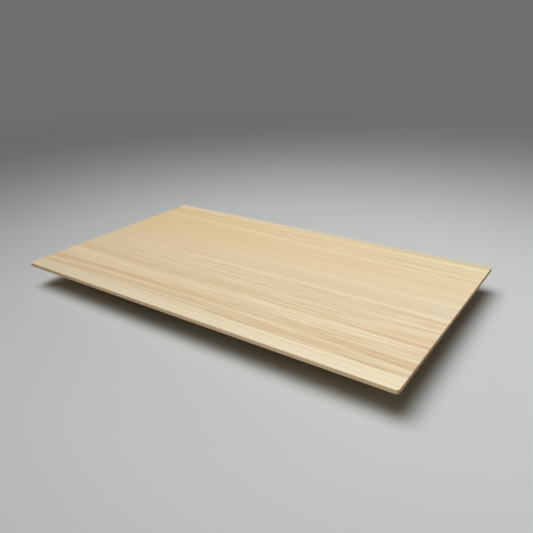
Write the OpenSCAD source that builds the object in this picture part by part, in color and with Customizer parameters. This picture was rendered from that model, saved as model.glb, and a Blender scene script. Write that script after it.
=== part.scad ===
// Footed serving board of pale straight-grained wood: a flat board glued up from four staves,
// planed thin at its rim, on two cross feet that slide into dovetail housings from below.
// The board stands on its soles at z = 0, centred on the origin, with its length along X.

/* [Board] */
// Length of the board, along the grain
board_l = 300; // [240:1:360]
// Width of the board, across the grain
board_w = 176; // [150:1:210]
// Thickness of the board inside its bevel
board_t = 8; // [6:0.5:12]
// Thickness left at the rim
rim_t = 2.7; // [2:0.1:5]
// Width of the bevel planed under the rim
bevel_w = 12; // [6:1:18]
// Corner radius seen from above
corner_r = 2.2; // [1:0.1:8]
// Chamfer that eases the top arris
top_arris = 0.4; // [0.2:0.1:0.8]

/* [Staves] */
// Width of the narrow stave along the front edge
front_strip_w = 11.8; // [8:0.1:20]
// Width of the front one of the two wide staves
front_stave_w = 67.2; // [50:0.1:80]
// Width of the narrow stave along the back edge
back_strip_w = 7; // [5:0.5:14]

/* [Feet] */
// Height of a foot below the board
foot_h = 11.5; // [8:0.5:30]
// Thickness of a foot, along the board's length
foot_t = 20; // [14:1:30]
// Distance from the board's end to the outer face of the foot
foot_inset = 46; // [20:1:70]
// Distance from the board's long edge to the end of the sole
sole_setback = 26; // [20:1:45]
// Chamfer along both long arrises of the sole
sole_arris = 0.8; // [0.4:0.1:1.5]

/* [Sliding dovetail] */
// Depth of the housing cut across the underside of the staves
housing_d = 3; // [2:0.5:4]
// Width of the foot's shoulder on either side of its tongue
shoulder_w = 3; // [2:0.5:4]
// Slope of the housing's flanks, from upright, in degrees
flank_angle = 15; // [8:1:20]
// Clearance between tongue and housing
joint_clearance = 0.1; // [0.05:0.05:0.3]

/* [Hidden] */
$fn = 64;

// One overrun serves every cut and every slab that only bounds a cut
overrun = 5;

underside_z = foot_h;
top_z = underside_z + board_t;
rim_z = top_z - rim_t;
bevel_slope = (rim_z - underside_z) / bevel_w;

half_l = board_l / 2;
half_w = board_w / 2;

// Glue lines, from the front edge to the back edge
front_line_y = -half_w + front_strip_w;
middle_line_y = front_line_y + front_stave_w;
back_line_y = half_w - back_strip_w;

foot_x = half_l - foot_inset - foot_t / 2;
foot_top_half_w = half_w - bevel_w;
sole_half_w = half_w - sole_setback;

mouth_half_w = foot_t / 2 - shoulder_w;
flank_slope = tan(flank_angle);

strip_colour = [0.90, 0.82, 0.66];
front_colour = [0.88, 0.78, 0.60];
back_colour = [0.91, 0.82, 0.65];
foot_colour = [0.84, 0.74, 0.56];

// Turns a section drawn as (y, z) into a bar of the given length along X, centred on x = 0
module bar_along_x(length) {
    rotate([90, 0, 90])
        linear_extrude(height = length, center = true)
            children();
}

// Turns a section drawn as (x, z) into a bar of the given length along Y, centred on y = 0
module bar_along_y(length) {
    rotate([90, 0, 0])
        linear_extrude(height = length, center = true)
            children();
}

// Section of the board across one of its spans, before the bevel is planed, with its top arris
module slab_section(half_span) {
    polygon([
        [-half_span, underside_z],
        [half_span, underside_z],
        [half_span, top_z - top_arris],
        [half_span - top_arris, top_z],
        [-half_span + top_arris, top_z],
        [-half_span, top_z - top_arris]
    ]);
}

// A round post with the same arris, which fills a corner of the outline
module corner_post() {
    rotate_extrude()
        polygon([
            [0, underside_z],
            [corner_r, underside_z],
            [corner_r, top_z - top_arris],
            [corner_r - top_arris, top_z],
            [0, top_z]
        ]);
}

// The board's full thickness inside its outline, with four rounded corners
module slab() {
    bar_along_x(board_l - 2 * corner_r)
        slab_section(half_w);
    bar_along_y(board_w - 2 * corner_r)
        slab_section(half_l);
    for (side_x = [-1, 1])
        for (side_y = [-1, 1])
            translate([side_x * (half_l - corner_r), side_y * (half_w - corner_r), 0])
                corner_post();
}

// Section of what the bevel leaves across one span: all that lies above its two planed faces
module above_bevel_section(half_span) {
    outer_z = rim_z + overrun * bevel_slope;
    inner_z = underside_z - overrun * bevel_slope;
    inner_half = half_span - bevel_w - overrun;
    polygon([
        [-half_span - overrun, outer_z],
        [-inner_half, inner_z],
        [inner_half, inner_z],
        [half_span + overrun, outer_z],
        [half_span + overrun, top_z + overrun],
        [-half_span - overrun, top_z + overrun]
    ]);
}

// The whole glued and planed board, before its housings are cut
module board_blank() {
    intersection() {
        slab();
        bar_along_x(board_l + 2 * overrun)
            above_bevel_section(half_w);
        bar_along_y(board_w + 2 * overrun)
            above_bevel_section(half_l);
    }
}

// The dovetail channel that a foot slides into, wider at its floor than at its mouth
module housing_section() {
    floor_half_w = mouth_half_w + housing_d * flank_slope;
    polygon([
        [-mouth_half_w, underside_z - overrun],
        [mouth_half_w, underside_z - overrun],
        [mouth_half_w, underside_z],
        [floor_half_w, underside_z + housing_d],
        [-floor_half_w, underside_z + housing_d],
        [-mouth_half_w, underside_z]
    ]);
}

module housings() {
    for (side = [-1, 1])
        translate([side * foot_x, 0, 0])
            bar_along_y(board_w + 2 * overrun)
                housing_section();
}

// The part of the board between two glue lines
module stave(from_y, to_y) {
    difference() {
        intersection() {
            board_blank();
            translate([-half_l - overrun, from_y, underside_z - overrun])
                cube([board_l + 2 * overrun, to_y - from_y, board_t + 2 * overrun]);
        }
        housings();
    }
}

// Section of a foot across its thickness: sole with eased arrises, shoulders and dovetail tongue
module foot_section() {
    half_t = foot_t / 2;
    tongue_h = housing_d - joint_clearance;
    root_half_w = mouth_half_w - joint_clearance;
    crest_half_w = root_half_w + tongue_h * flank_slope;
    polygon([
        [-half_t + sole_arris, 0],
        [half_t - sole_arris, 0],
        [half_t, sole_arris],
        [half_t, underside_z],
        [root_half_w, underside_z],
        [crest_half_w, underside_z + tongue_h],
        [-crest_half_w, underside_z + tongue_h],
        [-root_half_w, underside_z],
        [-half_t, underside_z],
        [-half_t, sole_arris]
    ]);
}

// Side view of a foot inside the bevel: its ends rake in from the bevel to the sole
module foot_side() {
    polygon([
        [-sole_half_w, 0],
        [sole_half_w, 0],
        [foot_top_half_w, underside_z],
        [foot_top_half_w, underside_z + housing_d],
        [-foot_top_half_w, underside_z + housing_d],
        [-foot_top_half_w, underside_z]
    ]);
}

// A cross foot, whose tongue runs the full width and is planed flush with the bevel at both ends
module foot(side) {
    intersection() {
        translate([side * foot_x, 0, 0])
            bar_along_y(board_w + 2 * overrun)
                foot_section();
        union() {
            board_blank();
            bar_along_x(board_l + 2 * overrun)
                foot_side();
        }
    }
}

module front_strip() {
    color(strip_colour)
        stave(-half_w - overrun, front_line_y);
}

module front_stave() {
    color(front_colour)
        stave(front_line_y, middle_line_y);
}

module back_stave() {
    color(back_colour)
        stave(middle_line_y, back_line_y);
}

module back_strip() {
    color(strip_colour)
        stave(back_line_y, half_w + overrun);
}

module left_foot() {
    color(foot_colour)
        foot(-1);
}

module right_foot() {
    color(foot_colour)
        foot(1);
}

front_strip();
front_stave();
back_stave();
back_strip();
left_foot();
right_foot();
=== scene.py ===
import math

import bmesh
import bpy
from mathutils import Matrix, Vector


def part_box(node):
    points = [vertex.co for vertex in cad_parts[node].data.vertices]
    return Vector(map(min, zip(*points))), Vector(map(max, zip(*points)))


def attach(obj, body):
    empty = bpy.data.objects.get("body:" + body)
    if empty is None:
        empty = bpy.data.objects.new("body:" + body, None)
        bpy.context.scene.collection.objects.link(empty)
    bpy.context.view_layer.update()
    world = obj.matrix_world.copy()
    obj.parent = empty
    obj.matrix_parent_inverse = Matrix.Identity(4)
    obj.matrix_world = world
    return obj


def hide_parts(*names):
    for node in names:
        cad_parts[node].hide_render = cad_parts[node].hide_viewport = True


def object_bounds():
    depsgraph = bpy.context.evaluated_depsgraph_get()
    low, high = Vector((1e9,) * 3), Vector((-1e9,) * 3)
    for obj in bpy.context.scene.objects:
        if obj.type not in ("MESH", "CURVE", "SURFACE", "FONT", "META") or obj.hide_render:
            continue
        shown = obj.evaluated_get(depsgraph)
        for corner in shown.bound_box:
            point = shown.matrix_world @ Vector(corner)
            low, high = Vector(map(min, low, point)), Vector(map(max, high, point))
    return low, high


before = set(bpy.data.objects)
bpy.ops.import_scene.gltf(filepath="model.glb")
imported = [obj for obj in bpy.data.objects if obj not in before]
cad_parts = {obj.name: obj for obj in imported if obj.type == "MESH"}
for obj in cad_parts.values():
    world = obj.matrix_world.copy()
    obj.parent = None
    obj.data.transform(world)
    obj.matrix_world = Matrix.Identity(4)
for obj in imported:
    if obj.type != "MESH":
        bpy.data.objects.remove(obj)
cad_low, cad_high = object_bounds()


# The glued panel, before it is told apart into staves: bare cypress boards, planed as one piece.
# Its corners are rounded, and a wide bevel planed under it leaves only a thin rim at the sides.
# Each stave below is cut out of this one shape, so that the planed faces run on across the joints.
underside_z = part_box("front_stave")[0].z
top_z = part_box("front_stave")[1].z
board_length = cad_high.x - cad_low.x
board_width = cad_high.y - cad_low.y
rim_thickness = 0.0027
bevel_width = 0.012
corner_radius = 0.0022
top_arris = 0.0004
rim_arris = 0.0003
bevel_arris = 0.0006
corner_segments = 8
top_arris_segments = 4
under_arris_segments = 3
rim_z = top_z - rim_thickness
bevel_slope = (rim_z - underside_z) / bevel_width
tiny = 1e-5
nearly_all = 0.999


def select_only(piece):
    """Makes one piece the active one and the only one selected."""
    bpy.ops.object.select_all(action="DESELECT")
    piece.select_set(True)
    bpy.context.view_layer.objects.active = piece


def edit(piece, mode):
    """Puts one piece alone into edit mode, with nothing selected on it."""
    select_only(piece)
    bpy.ops.object.mode_set(mode="EDIT")
    bpy.ops.mesh.select_mode(type=mode)
    bpy.ops.mesh.select_all(action="DESELECT")


def pick(piece, kind, wanted):
    """Selects those vertices, edges or faces of the piece in edit mode that wanted() says yes to."""
    bpy.ops.mesh.select_all(action="DESELECT")
    shape = bmesh.from_edit_mesh(piece.data)
    for part in list(getattr(shape, kind)):
        if wanted(part):
            part.select_set(True)
    bmesh.update_edit_mesh(piece.data)


def round_edges(piece, wanted, width, segments):
    """Rounds those edges of the piece in edit mode that wanted() says yes to."""
    pick(piece, "edges", wanted)
    bpy.ops.mesh.bevel(offset=width, segments=segments, affect="EDGES")


def cut_across(point, direction, **settings):
    """Cuts the whole of the piece in edit mode along a plane."""
    bpy.ops.mesh.select_all(action="SELECT")
    bpy.ops.mesh.bisect(plane_co=point, plane_no=direction, **settings)


def along(edge, axis):
    """Whether an edge runs along x, y or z, given as 0, 1 or 2."""
    run = edge.verts[1].co - edge.verts[0].co
    return abs(run[axis]) > nearly_all * run.length


def at_height(part, z):
    """Whether all corners of an edge or a face lie at one height."""
    return all(abs(corner.co.z - z) < tiny for corner in part.verts)


def add_block(name, low, high):
    """A block between two corners, whose object sits at the origin."""
    bpy.ops.object.select_all(action="DESELECT")
    bpy.ops.mesh.primitive_cube_add(size=1, location=(low + high) / 2)
    piece = bpy.context.active_object
    piece.name = name
    piece.scale = high - low
    bpy.ops.object.transform_apply(location=True, rotation=True, scale=True)
    return piece


panel = add_block(
    "panel",
    Vector((cad_low.x, cad_low.y, underside_z)),
    Vector((cad_high.x, cad_high.y, top_z)),
)
edit(panel, "EDGE")
round_edges(panel, lambda edge: along(edge, 2), corner_radius, corner_segments)
cut_across((0, 0, rim_z), (0, 0, 1))
pick(panel, "faces", lambda face: at_height(face, underside_z))
bpy.ops.transform.resize(
    value=(1 - 2 * bevel_width / board_length, 1 - 2 * bevel_width / board_width, 1),
    center_override=(0, 0, underside_z),
)
round_edges(panel, lambda edge: at_height(edge, top_z), top_arris, top_arris_segments)
round_edges(panel, lambda edge: at_height(edge, rim_z), rim_arris, under_arris_segments)
round_edges(panel, lambda edge: at_height(edge, underside_z), bevel_arris, under_arris_segments)
bpy.ops.object.mode_set(mode="OBJECT")


# The two housings: sliding-dovetail channels cut across the underside of the glued panel.
# They are wider at their floor than at their mouth, so a foot slid in from the side can't drop out.
left_foot_low, left_foot_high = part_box("left_foot")
right_foot_low, right_foot_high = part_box("right_foot")
foot_thickness = left_foot_high.x - left_foot_low.x
foot_places = {
    "left_foot": (left_foot_low.x + left_foot_high.x) / 2,
    "right_foot": (right_foot_low.x + right_foot_high.x) / 2,
}
housing_depth = 0.003
shoulder_width = 0.003
flank_angle = math.radians(15)
flank_slope = math.tan(flank_angle)
joint_clearance = 0.0001
mouth_width = foot_thickness - 2 * shoulder_width
cutter_overrun = 0.005
weld_distance = tiny / 2


def add_housing_cutter(foot_x):
    """A bar with dovetail flanks, longer than the panel is wide, that stands in one housing."""
    half_mouth = mouth_width / 2
    half_length = board_width / 2 + cutter_overrun
    low = Vector((foot_x - half_mouth, -half_length, underside_z - cutter_overrun))
    high = Vector((foot_x + half_mouth, half_length, underside_z + housing_depth))
    cutter = add_block("housing_cutter", low, high)
    edit(cutter, "FACE")
    cut_across((0, 0, underside_z), (0, 0, 1))
    pick(cutter, "faces", lambda face: at_height(face, high.z))
    bpy.ops.transform.resize(
        value=(1 + housing_depth * flank_slope / half_mouth, 1, 1),
        center_override=(foot_x, 0, 0),
    )
    bpy.ops.object.mode_set(mode="OBJECT")
    return cutter


def apply_modifier(piece, modifier):
    """Turns what a modifier does to a piece into the piece's own mesh."""
    select_only(piece)
    bpy.ops.object.modifier_apply(modifier=modifier.name)


for foot_x in foot_places.values():
    cutter = add_housing_cutter(foot_x)
    cut = panel.modifiers.new("Housing", "BOOLEAN")
    cut.operation = "DIFFERENCE"
    cut.solver = "EXACT"
    cut.object = cutter
    apply_modifier(panel, cut)
    bpy.data.objects.remove(cutter)
edit(panel, "VERT")
bpy.ops.mesh.select_all(action="SELECT")
bpy.ops.mesh.remove_doubles(threshold=weld_distance)
bpy.ops.object.mode_set(mode="OBJECT")


# The staves themselves: straight-grained cypress, ripped to width and glued edge to edge.
# They are bare wood, so their look is growth rings, fibres, and how pale each board is, with some
# painted sheen and painted shade besides.
cut_precision = tiny / 10
end_grain_from = 0.35
end_grain_span = 0.45
upright_from = 0.75
upright_span = 0.40
smooth_below = math.radians(35)
flat_face_weight = 100


def cut_stave(name, from_y, to_y):
    """The part of the panel between two lines, closed along each of them that is a glue line."""
    stave = panel.copy()
    stave.data = panel.data.copy()
    stave.name = name
    bpy.context.scene.collection.objects.link(stave)
    edit(stave, "FACE")
    for line_y, outward in ((from_y, -1), (to_y, 1)):
        if cad_low.y + tiny < line_y < cad_high.y - tiny:
            cut_across((0, line_y, 0), (0, outward, 0),
                       use_fill=True, clear_outer=True, threshold=cut_precision)
    bpy.ops.object.mode_set(mode="OBJECT")
    return stave


def mark_cuts(piece, grain_axis):
    """Stores on each face, from 0 to 1, how squarely it cuts the grain and how upright it is."""
    end_grain = piece.data.attributes.new("end_grain", "FLOAT", "FACE")
    upright = piece.data.attributes.new("upright", "FLOAT", "FACE")
    for face in piece.data.polygons:
        across = abs(face.normal[grain_axis])
        level = abs(face.normal.z)
        cut = (across - end_grain_from) / end_grain_span
        steep = (upright_from - level) / upright_span
        end_grain.data[face.index].value = min(1.0, max(0.0, cut))
        upright.data[face.index].value = min(1.0, max(0.0, steep))


def finish_surface(piece):
    """Smooths the rounded arrises and keeps the planed faces flat."""
    select_only(piece)
    bpy.ops.object.shade_smooth_by_angle(angle=smooth_below)
    flat = piece.modifiers.new("Flat faces", "WEIGHTED_NORMAL")
    flat.mode = "FACE_AREA"
    flat.weight = flat_face_weight
    flat.keep_sharp = True
    apply_modifier(piece, flat)


def fit_stave(stave, cad_node):
    """Finishes a stave, and puts it in the place of its node in the CAD."""
    mark_cuts(stave, 0)
    finish_surface(stave)
    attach(stave, "root")
    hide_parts(cad_node)


def new_group(name, inputs, outputs):
    """An empty node group with named sockets, and the sockets of its input and output nodes."""
    group = bpy.data.node_groups.new(name, "ShaderNodeTree")
    kinds = {"value": "NodeSocketFloat", "vector": "NodeSocketVector", "colour": "NodeSocketColor"}
    for socket, kind in inputs:
        group.interface.new_socket(socket, in_out="INPUT", socket_type=kinds[kind])
    for socket, kind in outputs:
        group.interface.new_socket(socket, in_out="OUTPUT", socket_type=kinds[kind])
    return group, group.nodes.new("NodeGroupInput").outputs, group.nodes.new("NodeGroupOutput").inputs


def node(tree, kind, inputs=(), **settings):
    """A new node, with its settings and with each input linked to a socket or set to a value."""
    made = tree.nodes.new(kind)
    for name, value in settings.items():
        setattr(made, name, value)
    for socket, value in dict(inputs).items():
        if isinstance(value, bpy.types.NodeSocket):
            tree.links.new(value, made.inputs[socket])
        else:
            made.inputs[socket].default_value = value
    return made


def calc(tree, operation, a, b=0.0, c=0.0, clamp=False):
    """The result of one Math node."""
    inputs = {0: a, 1: b, 2: c} if operation == "MULTIPLY_ADD" else {0: a, 1: b}
    return node(tree, "ShaderNodeMath", inputs, operation=operation, use_clamp=clamp).outputs[0]


def noise(tree, place, detail=2.0, roughness=0.5, scale=1.0):
    """A 3-D noise that swings about 0, seldom past -0.5 or 0.5."""
    average = 0.5
    inputs = {"Vector": place, "Scale": scale, "Detail": detail, "Roughness": roughness}
    grey = node(tree, "ShaderNodeTexNoise", inputs).outputs[0]
    return calc(tree, "SUBTRACT", grey, average)


def stretched(tree, place, per_metre_along, per_metre_across, seed):
    """The place to look a noise up, for features drawn out along the grain."""
    return node(tree, "ShaderNodeCombineXYZ", {
        "X": calc(tree, "MULTIPLY_ADD", place["X"], per_metre_along, seed),
        "Y": calc(tree, "MULTIPLY", place["Y"], per_metre_across),
        "Z": calc(tree, "MULTIPLY", place["Z"], per_metre_across),
    }).outputs[0]


def blend(tree, factor, a, b, beyond=False):
    """One colour turning into another as the factor goes from 0 to 1, and beyond if so asked."""
    mix = node(tree, "ShaderNodeMix", {"Factor": factor}, data_type="RGBA", clamp_factor=not beyond)
    ends = [socket for socket in mix.inputs if socket.type == "RGBA"]
    for socket, colour in zip(ends, (a, b)):
        if isinstance(colour, bpy.types.NodeSocket):
            tree.links.new(colour, socket)
        else:
            socket.default_value = colour
    return [socket for socket in mix.outputs if socket.type == "RGBA"][0]


def tinted(tree, colour, amount, tint):
    """A colour multiplied by a tint, as far as the amount from 0 to 1 says."""
    full = node(tree, "ShaderNodeVectorMath", {0: colour, 1: tint}, operation="MULTIPLY")
    return blend(tree, amount, colour, full.outputs[0])


def build_growth_rings():
    """Rings round the heart of the tree that the wood came from, which ran along X beside it.

    They bow towards mid-length, wander a little, and part round an eye in the grain. Their width
    swells and shrinks from ring to ring, and finer lines follow them at a width of their own.
    What is named along or across is how many features of a noise there are in a metre.
    """
    wander_along = 14.0
    wander_across = 60.0
    eye_half_length = 0.0060
    eye_half_width = 0.0024
    swells_per_ring = 0.17
    swell_in_rings = 3.0
    lines_along = 7.0
    group, given, result = new_group(
        "Growth rings",
        [("Position", "vector"), ("Heart Y", "value"), ("Heart Z", "value"), ("Ring Width", "value"),
         ("Taper", "value"), ("Bow", "value"), ("Bow Ends At", "value"), ("Bow Span", "value"),
         ("Half Length", "value"), ("Wander", "value"), ("Line Width", "value"),
         ("Eye X", "value"), ("Eye Y", "value"), ("Eye Push", "value"), ("Seed", "value")],
        [("Bowed Y", "value"), ("Phase", "value"), ("Ring Tone", "value"), ("Lines", "value")],
    )
    place = node(group, "ShaderNodeSeparateXYZ", {0: given["Position"]}).outputs
    reach = calc(group, "DIVIDE", place["X"], given["Half Length"])
    sag = calc(group, "SUBTRACT", 1.0, calc(group, "MULTIPLY", reach, reach))
    inside = calc(group, "SUBTRACT", given["Bow Ends At"], place["Y"])
    share = calc(group, "DIVIDE", inside, given["Bow Span"], clamp=True)
    bow = calc(group, "MULTIPLY", calc(group, "MULTIPLY", sag, share), given["Bow"])
    wander_place = stretched(group, place, wander_along, wander_across, given["Seed"])
    drift = noise(group, wander_place, detail=4.0, roughness=0.64)
    drifted = calc(group, "MULTIPLY_ADD", drift, given["Wander"], place["Y"])
    from_eye_x = calc(group, "SUBTRACT", place["X"], given["Eye X"])
    from_eye_y = calc(group, "SUBTRACT", place["Y"], given["Eye Y"])
    eye_x = calc(group, "DIVIDE", from_eye_x, eye_half_length)
    eye_y = calc(group, "DIVIDE", from_eye_y, eye_half_width)
    eye_squares = calc(group, "ADD", calc(group, "MULTIPLY", eye_x, eye_x),
                       calc(group, "MULTIPLY", eye_y, eye_y))
    bell = calc(group, "EXPONENT", calc(group, "MULTIPLY", eye_squares, -1.0))
    drifted = calc(group, "MULTIPLY_ADD", bell, given["Eye Push"], drifted)
    bowed = calc(group, "SUBTRACT", drifted, bow)
    across = calc(group, "SUBTRACT", bowed, given["Heart Y"])
    above = calc(group, "SUBTRACT", place["Z"], given["Heart Z"])
    squares = calc(group, "ADD", calc(group, "MULTIPLY", across, across),
                   calc(group, "MULTIPLY", above, above))
    radius = calc(group, "MULTIPLY_ADD", place["X"], given["Taper"], calc(group, "SQRT", squares))
    even = calc(group, "DIVIDE", radius, given["Ring Width"])
    along_radius = node(group, "ShaderNodeCombineXYZ", {
        "X": calc(group, "MULTIPLY", even, swells_per_ring),
        "Y": given["Seed"],
    }).outputs[0]
    uneven = noise(group, along_radius, detail=1.0)
    ring = calc(group, "MULTIPLY_ADD", uneven, swell_in_rings, even)
    count = node(group, "ShaderNodeCombineXYZ", {
        "X": calc(group, "FLOOR", ring),
        "Y": given["Seed"],
    }).outputs[0]
    tone = node(group, "ShaderNodeTexWhiteNoise", {"Vector": count}, noise_dimensions="2D")
    along_lines = node(group, "ShaderNodeCombineXYZ", {
        "X": calc(group, "DIVIDE", radius, given["Line Width"]),
        "Y": calc(group, "MULTIPLY", place["X"], lines_along),
        "Z": given["Seed"],
    }).outputs[0]
    group.links.new(bowed, result["Bowed Y"])
    group.links.new(calc(group, "FRACT", ring), result["Phase"])
    group.links.new(tone.outputs["Value"], result["Ring Tone"])
    group.links.new(noise(group, along_lines, detail=1.0), result["Lines"])
    return group


def build_planed_wood():
    """Planed wood between a pale and a brown colour, with late wood, fibres and cut ends.

    Each pair of scales says how many features of a noise there are in a metre, along the grain and
    across it. Pink is how far red, green and blue swing together as the hue drifts.
    """
    patch_scales = (16.0, 420.0)
    cloud_scales = (5.0, 70.0)
    fibre_scales = (24.0, 1200.0)
    hue_scales = (4.0, 150.0)
    pink = {"X": 0.05, "Y": -0.06, "Z": -0.12}
    late_wood_power = 4.0
    weight_of_palest_ring = 0.55
    weight_to_darkest_ring = 0.45
    pore_scale = 2600.0
    pore_depth = 0.35
    sawn_ring_depth = -0.30
    planed_roughness = 0.56
    late_wood_polish = -0.08
    sawn_roughness = 0.25
    late_wood_relief = 0.5
    group, given, result = new_group(
        "Planed wood",
        [("Position", "vector"), ("Phase", "value"), ("Ring Tone", "value"), ("Lines", "value"),
         ("Tone", "value"), ("Late Wood", "value"), ("Line Depth", "value"), ("Fibres", "value"),
         ("Fibres To Right", "value"), ("Clouds", "value"), ("Deeper To Right", "value"),
         ("Hue Drift", "value"), ("Pale", "colour"), ("Brown", "colour"), ("Left Tint", "colour"),
         ("Half Length", "value"), ("Edge Tint", "colour"), ("Edge From", "value"),
         ("Edge To", "value"), ("End Grain", "value"), ("Upright", "value"), ("End Tint", "colour"),
         ("Side Grain And Painted Shade Tint", "colour"), ("Seed", "value")],
        [("Color", "colour"), ("Roughness", "value"), ("Height", "value")],
    )
    place = node(group, "ShaderNodeSeparateXYZ", {0: given["Position"]}).outputs
    seed = given["Seed"]
    patches = noise(group, stretched(group, place, *patch_scales, seed))
    slow = noise(group, stretched(group, place, *cloud_scales, seed))
    fine = noise(group, stretched(group, place, *fibre_scales, seed), detail=3.0, roughness=0.6)
    hue = noise(group, stretched(group, place, *hue_scales, seed))
    pores = noise(group, given["Position"], roughness=0.6, scale=pore_scale)

    reach = calc(group, "DIVIDE", place["X"], given["Half Length"])
    depth = calc(group, "MULTIPLY_ADD", reach, given["Deeper To Right"], 1.0)
    darkening = calc(group, "POWER", given["Phase"], late_wood_power)
    weight = calc(group, "MULTIPLY_ADD", given["Ring Tone"], weight_to_darkest_ring,
                  weight_of_palest_ring)
    patchy = calc(group, "ADD", patches, 1.0)
    late = calc(group, "MULTIPLY", calc(group, "MULTIPLY", darkening, weight), patchy)
    grain = calc(group, "MULTIPLY", late, given["Late Wood"])
    grain = calc(group, "MULTIPLY_ADD", given["Lines"], given["Line Depth"], grain)
    tone = calc(group, "MULTIPLY_ADD", grain, depth, given["Tone"])
    tone = calc(group, "MULTIPLY_ADD", slow, given["Clouds"], tone)
    fibres = calc(group, "MULTIPLY_ADD", reach, given["Fibres To Right"], given["Fibres"])
    tone = calc(group, "MULTIPLY_ADD", fine, fibres, tone)
    planed = blend(group, tone, given["Pale"], given["Brown"], beyond=True)

    pinkness = calc(group, "MULTIPLY", hue, given["Hue Drift"])
    pinker = node(group, "ShaderNodeCombineXYZ", {
        channel: calc(group, "MULTIPLY_ADD", pinkness, swing, 1.0) for channel, swing in pink.items()
    }).outputs[0]
    planed = node(group, "ShaderNodeVectorMath", {
        0: planed, 1: pinker,
    }, operation="MULTIPLY").outputs[0]
    # Painted sheen in part: on the two wide staves the left end is tinted yellower and darker, so
    # their right ends read paler, as if the light's sheen fell there. On the narrow strips the tint
    # only shifts their colour from end to end.
    leftness = node(group, "ShaderNodeMapRange", {
        "Value": reach, "From Min": 1.0, "From Max": -1.0,
    }).outputs[0]
    planed = tinted(group, planed, leftness, given["Left Tint"])
    nearness = node(group, "ShaderNodeMapRange", {
        "Value": place["Y"], "From Min": given["Edge To"], "From Max": given["Edge From"],
    }, interpolation_type="SMOOTHSTEP").outputs[0]
    planed = tinted(group, planed, nearness, given["Edge Tint"])

    # Upright faces are tinted browner: partly the side grain's own colour, partly painted warm shade.
    side = tinted(group, planed, given["Upright"], given["Side Grain And Painted Shade Tint"])
    pitted = calc(group, "MULTIPLY_ADD", pores, pore_depth, 1.0)
    ringed = calc(group, "MULTIPLY_ADD", late, sawn_ring_depth, pitted)
    sawn = node(group, "ShaderNodeVectorMath", {
        0: given["End Tint"], "Scale": ringed,
    }, operation="SCALE").outputs[0]
    colour = tinted(group, side, given["End Grain"], sawn)
    smooth = calc(group, "MULTIPLY_ADD", late, late_wood_polish, planed_roughness)
    rough = calc(group, "MULTIPLY_ADD", given["End Grain"], sawn_roughness, smooth)
    height = calc(group, "MULTIPLY_ADD", late, late_wood_relief, fine)
    group.links.new(colour, result["Color"])
    group.links.new(rough, result["Roughness"])
    group.links.new(height, result["Height"])
    return group


def build_streak():
    """A paler or browner streak along the grain, which may lean, added to a tone.

    Along goes from -1 at the left end to 1 at the right end.
    """
    group, given, result = new_group(
        "Streak",
        [("Tone", "value"), ("Along", "value"), ("Across", "value"), ("Left Y", "value"),
         ("Right Y", "value"), ("Half Width", "value"), ("Left Strength", "value"),
         ("Right Strength", "value")],
        [("Tone", "value")],
    )
    centre = node(group, "ShaderNodeMapRange", {
        "Value": given["Along"], "From Min": -1.0, "From Max": 1.0,
        "To Min": given["Left Y"], "To Max": given["Right Y"],
    }).outputs[0]
    off = calc(group, "ABSOLUTE", calc(group, "SUBTRACT", given["Across"], centre))
    profile = node(group, "ShaderNodeMapRange", {
        "Value": off, "From Min": 0.0, "From Max": given["Half Width"],
        "To Min": 1.0, "To Max": 0.0,
    }, interpolation_type="SMOOTHSTEP").outputs[0]
    strength = node(group, "ShaderNodeMapRange", {
        "Value": given["Along"], "From Min": -1.0, "From Max": 1.0,
        "To Min": given["Left Strength"], "To Max": given["Right Strength"],
    }).outputs[0]
    group.links.new(calc(group, "MULTIPLY_ADD", profile, strength, given["Tone"]), result["Tone"])
    return group


growth_rings = build_growth_rings()
planed_wood = build_planed_wood()
streak_group = build_streak()
half_length = board_length / 2
millimetre = 0.001
grain_relief = 0.0001
relief_strength = 0.35
wood_ior = 1.5
wood_shine = 0.35


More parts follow.
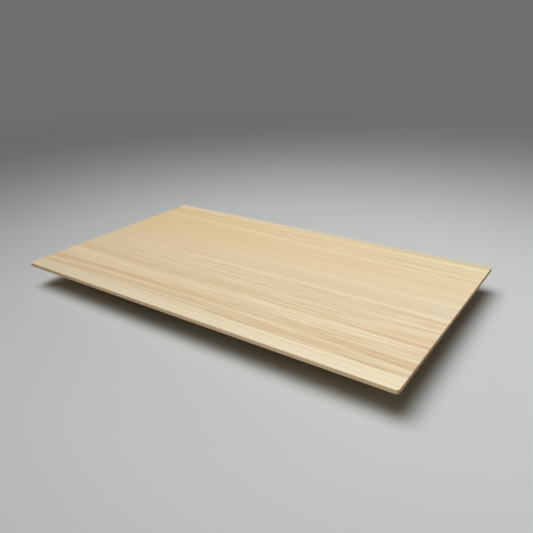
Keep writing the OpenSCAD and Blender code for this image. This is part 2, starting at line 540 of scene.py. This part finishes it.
def wood_material(name, look, streaks, grain_along="X"):
    """Bare wood whose rings, colours and streaks are this piece's own.

    A streak is its place at the left and at the right end and its half width, in millimetres,
    and how much browner it is at the left and at the right end.
    """
    material = bpy.data.materials.new(name)
    material.use_nodes = True
    tree = material.node_tree
    tree.nodes.clear()
    position = node(tree, "ShaderNodeTexCoord").outputs["Object"]
    if grain_along == "Y":
        turned = node(tree, "ShaderNodeSeparateXYZ", {0: position}).outputs
        position = node(tree, "ShaderNodeCombineXYZ",
                        {"X": turned["Y"], "Y": turned["X"], "Z": turned["Z"]}).outputs[0]
    rings = node(tree, "ShaderNodeGroup", node_tree=growth_rings)
    wood = node(tree, "ShaderNodeGroup", node_tree=planed_wood)
    for group in (rings, wood):
        tree.links.new(position, group.inputs["Position"])
        for socket, value in look.items():
            if socket in group.inputs:
                group.inputs[socket].default_value = value
    for socket in ("Phase", "Ring Tone", "Lines"):
        tree.links.new(rings.outputs[socket], wood.inputs[socket])
    end_grain = node(tree, "ShaderNodeAttribute", attribute_name="end_grain").outputs["Fac"]
    tree.links.new(end_grain, wood.inputs["End Grain"])
    upright = node(tree, "ShaderNodeAttribute", attribute_name="upright").outputs["Fac"]
    tree.links.new(upright, wood.inputs["Upright"])

    # The tone slopes along the board. On the front strip it grows paler towards the right end: painted
    # sheen, standing in for light that falls stronger there. On the other staves it is a small drift,
    # and the back strip darkens towards the right.
    along_x = node(tree, "ShaderNodeSeparateXYZ", {0: position}).outputs["X"]
    share_along = calc(tree, "DIVIDE", along_x, look["Half Length"])
    tone = calc(tree, "MULTIPLY_ADD", share_along, look["Browner To Right"], look["Tone"])
    for left_y, right_y, half_width, left_strength, right_strength in streaks:
        tone = node(tree, "ShaderNodeGroup", {
            "Tone": tone,
            "Along": share_along,
            "Across": rings.outputs["Bowed Y"],
            "Left Y": left_y * millimetre,
            "Right Y": right_y * millimetre,
            "Half Width": half_width * millimetre,
            "Left Strength": left_strength,
            "Right Strength": right_strength,
        }, node_tree=streak_group).outputs["Tone"]
    tree.links.new(tone, wood.inputs["Tone"])

    bump = node(tree, "ShaderNodeBump", {
        "Height": wood.outputs["Height"],
        "Strength": relief_strength,
        "Distance": grain_relief,
    })
    shader = node(tree, "ShaderNodeBsdfPrincipled", {
        "Base Color": wood.outputs["Color"],
        "Roughness": wood.outputs["Roughness"],
        "Normal": bump.outputs["Normal"],
        "IOR": wood_ior,
        "Specular IOR Level": wood_shine,
    })
    output = node(tree, "ShaderNodeOutputMaterial")
    tree.links.new(shader.outputs["BSDF"], output.inputs["Surface"])
    return material


common_look = {
    "Half Length": half_length,
    "Taper": 0.0,
    "Bow": 0.0,
    "Bow Ends At": 0.1,
    "Bow Span": 0.1,
    "Wander": 0.0016,
    "Eye X": 0.0,
    "Eye Y": 0.0,
    "Eye Push": 0.0,
    "Line Width": 0.0014,
    "Line Depth": 0.20,
    "Deeper To Right": 0.45,
    "Late Wood": 0.30,
    "Fibres": 0.28,
    "Fibres To Right": 0.0,
    "Clouds": 0.20,
    "Hue Drift": 0.5,
    "Pale": (0.842, 0.715, 0.492, 1),
    "Brown": (0.606, 0.418, 0.224, 1),
    "Left Tint": (1.0, 1.0, 1.0, 1),
    "Edge Tint": (1.0, 1.0, 1.0, 1),
    "Edge From": 0.0,
    "Edge To": 0.001,
    "Side Grain And Painted Shade Tint": (1.000, 0.870, 0.770, 1),
    "End Tint": (0.880, 0.740, 0.640, 1),
    "Browner To Right": -0.04,
}


# The front strip: the narrow stave along the front edge, the palest of the four.
# It is sapwood with faint rings, sawn so that they run along its narrow planed side.
front_strip = cut_stave("front_strip_wood", cad_low.y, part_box("front_strip")[1].y)
front_strip.data.materials.append(wood_material("Front strip wood", {
    **common_look,
    "Tone": 0.17,
    # Painted sheen: paler towards the right end.
    "Browner To Right": -0.17,
    "Heart Y": -0.115,
    "Heart Z": -0.040,
    "Ring Width": 0.0022,
    "Late Wood": 0.22,
    "Line Width": 0.0008,
    "Line Depth": 0.90,
    "Deeper To Right": 0.10,
    "Hue Drift": 0.8,
    "Clouds": 0.08,
    "Pale": (0.850, 0.728, 0.515, 1),
    "Brown": (0.615, 0.430, 0.240, 1),
    "Left Tint": (0.97, 1.00, 1.03, 1),
    "Seed": 3.7,
}, [
    (-76.0, -76.0, 1.2, 0.10, 0.05),
    (-87.5, -87.0, 1.5, 0.05, 0.02),
]))
fit_stave(front_strip, "front_strip")


# The front stave: one of the two wide ones, quarter-sawn, so its rings run as fine stripes.
# They bow away from the front edge at mid-length, in bands where the tree grew slower and faster.
front_stave = cut_stave("front_stave_wood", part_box("front_stave")[0].y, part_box("front_stave")[1].y)
front_stave.data.materials.append(wood_material("Front stave wood", {
    **common_look,
    "Tone": 0.33,
    "Pale": (0.842, 0.727, 0.499, 1),
    "Brown": (0.606, 0.419, 0.225, 1),
    "Left Tint": (1.0, 0.980, 0.950, 1),
    "Hue Drift": 1.2,
    "Heart Y": -0.32,
    "Heart Z": -0.06,
    "Ring Width": 0.0028,
    "Bow": 0.0062,
    "Bow Ends At": -0.050,
    "Bow Span": 0.016,
    "Browner To Right": 0.03,
    "Late Wood": 0.31,
    "Line Width": 0.0009,
    "Line Depth": 1.00,
    "Deeper To Right": 0.16,
    "Clouds": 0.12,
    "Fibres": 1.50,
    "Fibres To Right": 0.95,
    "Eye X": 0.077,
    "Eye Y": -0.057,
    "Eye Push": 0.0050,
    "Seed": 1.2,
}, [
    (-77.5, -77.5, 5.8, 0.24, 0.26),
    (-74.3, -76.0, 2.2, 0.20, 0.00),
    (-72.3, -71.2, 1.1, -0.16, -0.22),
    (-67.0, -66.5, 4.4, 0.26, 0.20),
    (-64.5, -66.0, 3.4, 0.22, 0.00),
    (-62.5, -62.5, 2.4, 0.02, 0.10),
    (-50.0, -50.0, 8.0, -0.20, -0.16),
    (-59.6, -59.6, 1.6, 0.00, -0.24),
    (-49.0, -49.0, 1.4, -0.04, -0.16),
    (-46.2, -46.4, 1.3, -0.04, -0.18),
    (-43.2, -43.7, 1.2, 0.32, 0.42),
    (-41.3, -41.5, 1.2, -0.04, -0.22),
    (-39.2, -39.8, 1.6, 0.16, 0.12),
    (-36.3, -36.3, 1.3, 0.16, 0.16),
    (-35.0, -35.5, 2.6, 0.12, 0.06),
    (-33.3, -33.6, 1.2, -0.12, -0.10),
    (-30.8, -30.8, 1.4, -0.04, -0.26),
    (-27.7, -27.5, 1.5, 0.02, 0.18),
    (-25.0, -25.0, 1.6, 0.04, 0.06),
    (-21.6, -21.6, 1.6, -0.08, -0.14),
    (-12.8, -12.0, 1.5, 0.00, 0.18),
    (-9.8, -9.8, 1.3, -0.10, -0.24),
    (-20.0, -20.0, 22.0, -0.08, -0.12),
]))
fit_stave(front_stave, "front_stave")


# The back stave: the widest, sawn flat, so its rings are broad and soft and lean along the board.
# Its surface is the smoothest of the four, with a light streak that leans across its back half.
back_stave = cut_stave("back_stave_wood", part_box("back_stave")[0].y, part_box("back_stave")[1].y)
back_stave.data.materials.append(wood_material("Back stave wood", {
    **common_look,
    "Tone": 0.25,
    "Browner To Right": 0.03,
    "Heart Y": 0.34,
    "Heart Z": -0.12,
    "Ring Width": 0.0045,
    "Taper": 0.012,
    "Late Wood": 0.10,
    "Clouds": 0.14,
    "Line Depth": 0.34,
    "Deeper To Right": 0.80,
    "Pale": (0.850, 0.736, 0.500, 1),
    "Brown": (0.615, 0.435, 0.230, 1),
    "Left Tint": (1.02, 0.930, 0.805, 1),
    "Edge Tint": (0.985, 1.0, 1.095, 1),
    "Edge From": 0.004,
    "Edge To": 0.026,
    "Seed": 8.3,
}, [
    (-8.2, -8.0, 1.6, -0.22, -0.26),
    (-3.0, -1.5, 3.4, 0.08, 0.08),
    (12.0, 12.3, 3.0, -0.02, -0.20),
    (21.0, 21.0, 2.6, 0.00, 0.10),
    (24.3, 24.3, 1.8, -0.04, -0.14),
    (35.0, 37.5, 3.0, 0.10, 0.10),
    (40.5, 41.5, 2.2, -0.10, -0.04),
    (48.0, 48.0, 2.4, 0.04, 0.14),
    (63.6, 50.4, 3.6, -0.32, -0.10),
    (70.5, 54.0, 2.4, 0.10, 0.18),
    (74.0, 58.6, 2.0, 0.00, -0.14),
    (81.0, 62.0, 2.6, 0.08, 0.18),
    (79.0, 77.2, 2.8, -0.04, -0.32),
]))
fit_stave(back_stave, "back_stave")


# The back strip: the narrow stave along the back edge, greener and a little darker than the rest, and
# darker towards its right end.
# It was trimmed to what the board's width still needed.
back_strip = cut_stave("back_strip_wood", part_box("back_strip")[0].y, cad_high.y)
back_strip.data.materials.append(wood_material("Back strip wood", {
    **common_look,
    "Tone": 0.25,
    "Browner To Right": 0.20,
    "Heart Y": 0.40,
    "Heart Z": -0.05,
    "Ring Width": 0.0028,
    "Late Wood": 0.14,
    "Pale": (0.790, 0.712, 0.495, 1),
    "Brown": (0.540, 0.428, 0.200, 1),
    "Left Tint": (1.16, 1.03, 0.96, 1),
    "Seed": 5.9,
}, []))
fit_stave(back_strip, "back_strip")
bpy.data.objects.remove(panel)


# The two feet: battens of the same wood, whose grain runs across the board and keeps it flat.
# Each has a dovetail tongue along its top, ends that rake in to the sole, and eased arrises.
foot_top_half = board_width / 2 - bevel_width
sole_setback = 0.026
sole_half = board_width / 2 - sole_setback
tongue_height = housing_depth - joint_clearance
tongue_root = mouth_width - 2 * joint_clearance
tongue_crest = tongue_root + 2 * tongue_height * flank_slope
tongue_tip_half = foot_top_half + tongue_height / bevel_slope
sole_arris = 0.0008
end_arris = 0.0005
sole_arris_segments = 4
end_arris_segments = 3
raked_end_lean = 0.3
foot_seed = 20.0
seed_per_metre = 40.0


def is_raked_end(face, side):
    """Whether a face is the raked end of a foot on the side towards which side points along y."""
    return face.normal.y * side > raked_end_lean and face.calc_center_median().z < underside_z


def build_foot(name, foot_x):
    """A batten along Y: a block, its tongue drawn up out of its top, and its ends raked in."""
    half_thickness = foot_thickness / 2
    low = Vector((foot_x - half_thickness, -foot_top_half, cad_low.z))
    high = Vector((foot_x + half_thickness, foot_top_half, underside_z))
    foot = add_block(name, low, high)
    edit(foot, "FACE")
    for side in (-1, 1):
        cut_across((foot_x + side * tongue_root / 2, 0, 0), (1, 0, 0))
    pick(foot, "faces", lambda face: at_height(face, underside_z)
         and abs(face.calc_center_median().x - foot_x) < tongue_root / 4)
    bpy.ops.mesh.extrude_region_move(TRANSFORM_OT_translate={"value": (0, 0, tongue_height)})
    bpy.ops.transform.resize(
        value=(tongue_crest / tongue_root, tongue_tip_half / foot_top_half, 1),
        center_override=(foot_x, 0, 0),
    )
    pick(foot, "faces", lambda face: at_height(face, cad_low.z))
    bpy.ops.transform.resize(value=(1, sole_half / foot_top_half, 1), center_override=(foot_x, 0, 0))
    bpy.ops.mesh.select_mode(type="EDGE")
    round_edges(foot, lambda edge: at_height(edge, cad_low.z)
                and abs(edge.verts[0].co.x - foot_x) > half_thickness - tiny
                and along(edge, 1), sole_arris, sole_arris_segments)
    for side in (-1, 1):
        round_edges(foot, lambda edge: not at_height(edge, underside_z)
                    and any(is_raked_end(face, side) for face in edge.link_faces),
                    end_arris, end_arris_segments)
    bpy.ops.object.mode_set(mode="OBJECT")
    return foot


foot_look = {
    **common_look,
    "Half Length": board_width / 2,
    "Tone": 0.36,
    "Heart Y": 0.02,
    "Heart Z": 0.12,
    "Ring Width": 0.0022,
    "Late Wood": 0.40,
    "Pale": (0.780, 0.650, 0.450, 1),
    "Brown": (0.540, 0.360, 0.160, 1),
}
for name, foot_x in foot_places.items():
    foot = build_foot(name + "_wood", foot_x)
    foot.data.materials.append(wood_material(name.replace("_", " ").capitalize() + " wood", {
        **foot_look,
        "Seed": foot_seed + seed_per_metre * foot_x,
    }, [], grain_along="Y"))
    mark_cuts(foot, 1)
    finish_surface(foot)
    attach(foot, "root")
    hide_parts(name)


# The table under the board: a plain pale matte surface with a painted pool of light. To the camera its
# far parts fade into a grey glow, painted shade for the far table that gets less light.
# Seen from below it is clear, so that the feet and the bevel can be looked at.
floor_size = 16.0
floor_pale = (0.550, 0.570, 0.566, 1)
far_grey = (0.160, 0.161, 0.158, 1)
painted_falloff_from = 0.17
painted_falloff_to = 1.20
painted_light_pool_stretch = 1.15


def seen_sharply(tree):
    """1 for what the camera sees, also in a mirror or through glass, and 0 for light that spreads."""
    rays = node(tree, "ShaderNodeLightPath").outputs
    mirrored = calc(tree, "ADD", rays["Is Glossy Ray"], rays["Is Transmission Ray"])
    return calc(tree, "ADD", rays["Is Camera Ray"], mirrored, clamp=True)


bpy.ops.object.select_all(action="DESELECT")
bpy.ops.mesh.primitive_plane_add(size=floor_size, location=(0, 0, cad_low.z))
floor = bpy.context.active_object
floor.name = "floor"
floor_material = bpy.data.materials.new("Pale table")
floor_material.use_nodes = True
floor_tree = floor_material.node_tree
floor_tree.nodes.clear()
floor_matte = node(floor_tree, "ShaderNodeBsdfDiffuse", {"Color": floor_pale})
painted_far_floor_glow = node(floor_tree, "ShaderNodeEmission", {"Color": far_grey})
floor_clear = node(floor_tree, "ShaderNodeBsdfTransparent")
floor_place = node(floor_tree, "ShaderNodeTexCoord").outputs["Object"]
floor_oval = node(floor_tree, "ShaderNodeVectorMath", {
    0: floor_place, 1: (1 / painted_light_pool_stretch, 1, 1),
}, operation="MULTIPLY").outputs[0]
floor_reach = node(floor_tree, "ShaderNodeVectorMath", {
    0: floor_oval,
}, operation="LENGTH").outputs["Value"]
# Painted pool of light: the farther from the board, the more the camera sees the grey glow in place of
# the lit pale table.
painted_floor_falloff = node(floor_tree, "ShaderNodeMapRange", {
    "Value": calc(floor_tree, "LOGARITHM", floor_reach, math.e),
    "From Min": math.log(painted_falloff_from), "From Max": math.log(painted_falloff_to),
}, interpolation_type="SMOOTHSTEP").outputs[0]
floor_top = node(floor_tree, "ShaderNodeMixShader", {
    0: calc(floor_tree, "MULTIPLY", painted_floor_falloff, seen_sharply(floor_tree)),
    1: floor_matte.outputs[0],
    2: painted_far_floor_glow.outputs[0],
})
floor_mix = node(floor_tree, "ShaderNodeMixShader", {
    0: node(floor_tree, "ShaderNodeNewGeometry").outputs["Backfacing"],
    1: floor_top.outputs[0],
    2: floor_clear.outputs[0],
})
floor_output = node(floor_tree, "ShaderNodeOutputMaterial")
floor_tree.links.new(floor_mix.outputs[0], floor_output.inputs["Surface"])
floor.data.materials.append(floor_material)


# The light: one large gridded softbox nearly overhead, aimed past the board's right end, and an
# even dim surround. Together they light the board's top at about one, so colours render as written.
softbox_size = 1.25
softbox_distance = 1.2
softbox_toward = Vector((-0.045, -0.11, 1.0)).normalized()
softbox_aim = Vector((0.36, 0.10, 0.0))
softbox_spread = math.radians(75)
softbox_power = 6.2
surround_strength = 0.036
surround_warmth = (1.0, 0.64, 0.42, 1)
board_centre = Vector((0, 0, top_z))

softbox_data = bpy.data.lights.new("softbox", "AREA")
softbox_data.shape = "SQUARE"
softbox_data.size = softbox_size
softbox_data.spread = softbox_spread
softbox_data.energy = softbox_power
softbox = bpy.data.objects.new("softbox", softbox_data)
softbox.location = board_centre + softbox_toward * softbox_distance
softbox.rotation_euler = (softbox.location - softbox_aim).to_track_quat("Z", "Y").to_euler()
bpy.context.scene.collection.objects.link(softbox)

world = bpy.data.worlds.new("surround")
bpy.context.scene.world = world
world.use_nodes = True
world_tree = world.node_tree
world_tree.nodes.clear()
world_light = node(world_tree, "ShaderNodeBackground", {
    "Color": surround_warmth,
    "Strength": surround_strength,
})
world_grey = node(world_tree, "ShaderNodeBackground", {"Color": far_grey})
world_mix = node(world_tree, "ShaderNodeMixShader", {
    0: seen_sharply(world_tree),
    1: world_light.outputs[0],
    2: world_grey.outputs[0],
})
world_output = node(world_tree, "ShaderNodeOutputWorld")
world_tree.links.new(world_mix.outputs[0], world_output.inputs["Surface"])


# The camera: close and wide, looking down over the front right corner, as in the photograph.
eye = Vector((0.2227, -0.3005, 0.1794))
aim = Vector((0.0099, 0.0027, 0.0193))
roll = math.radians(-1.216)
focal_length = 36.69
sensor_width = 36.0
nearest_seen = 0.01
farthest_seen = 50.0

camera_data = bpy.data.cameras.new("camera")
camera_data.sensor_width = sensor_width
camera_data.lens = focal_length
camera_data.clip_start = nearest_seen
camera_data.clip_end = farthest_seen
camera = bpy.data.objects.new("camera", camera_data)
level = (aim - eye).to_track_quat("-Z", "Y").to_matrix().to_4x4()
camera.matrix_world = Matrix.Translation(eye) @ level @ Matrix.Rotation(roll, 4, "Z")
bpy.context.scene.collection.objects.link(camera)
bpy.context.scene.camera = camera

bpy.context.scene.view_settings.view_transform = "Standard"
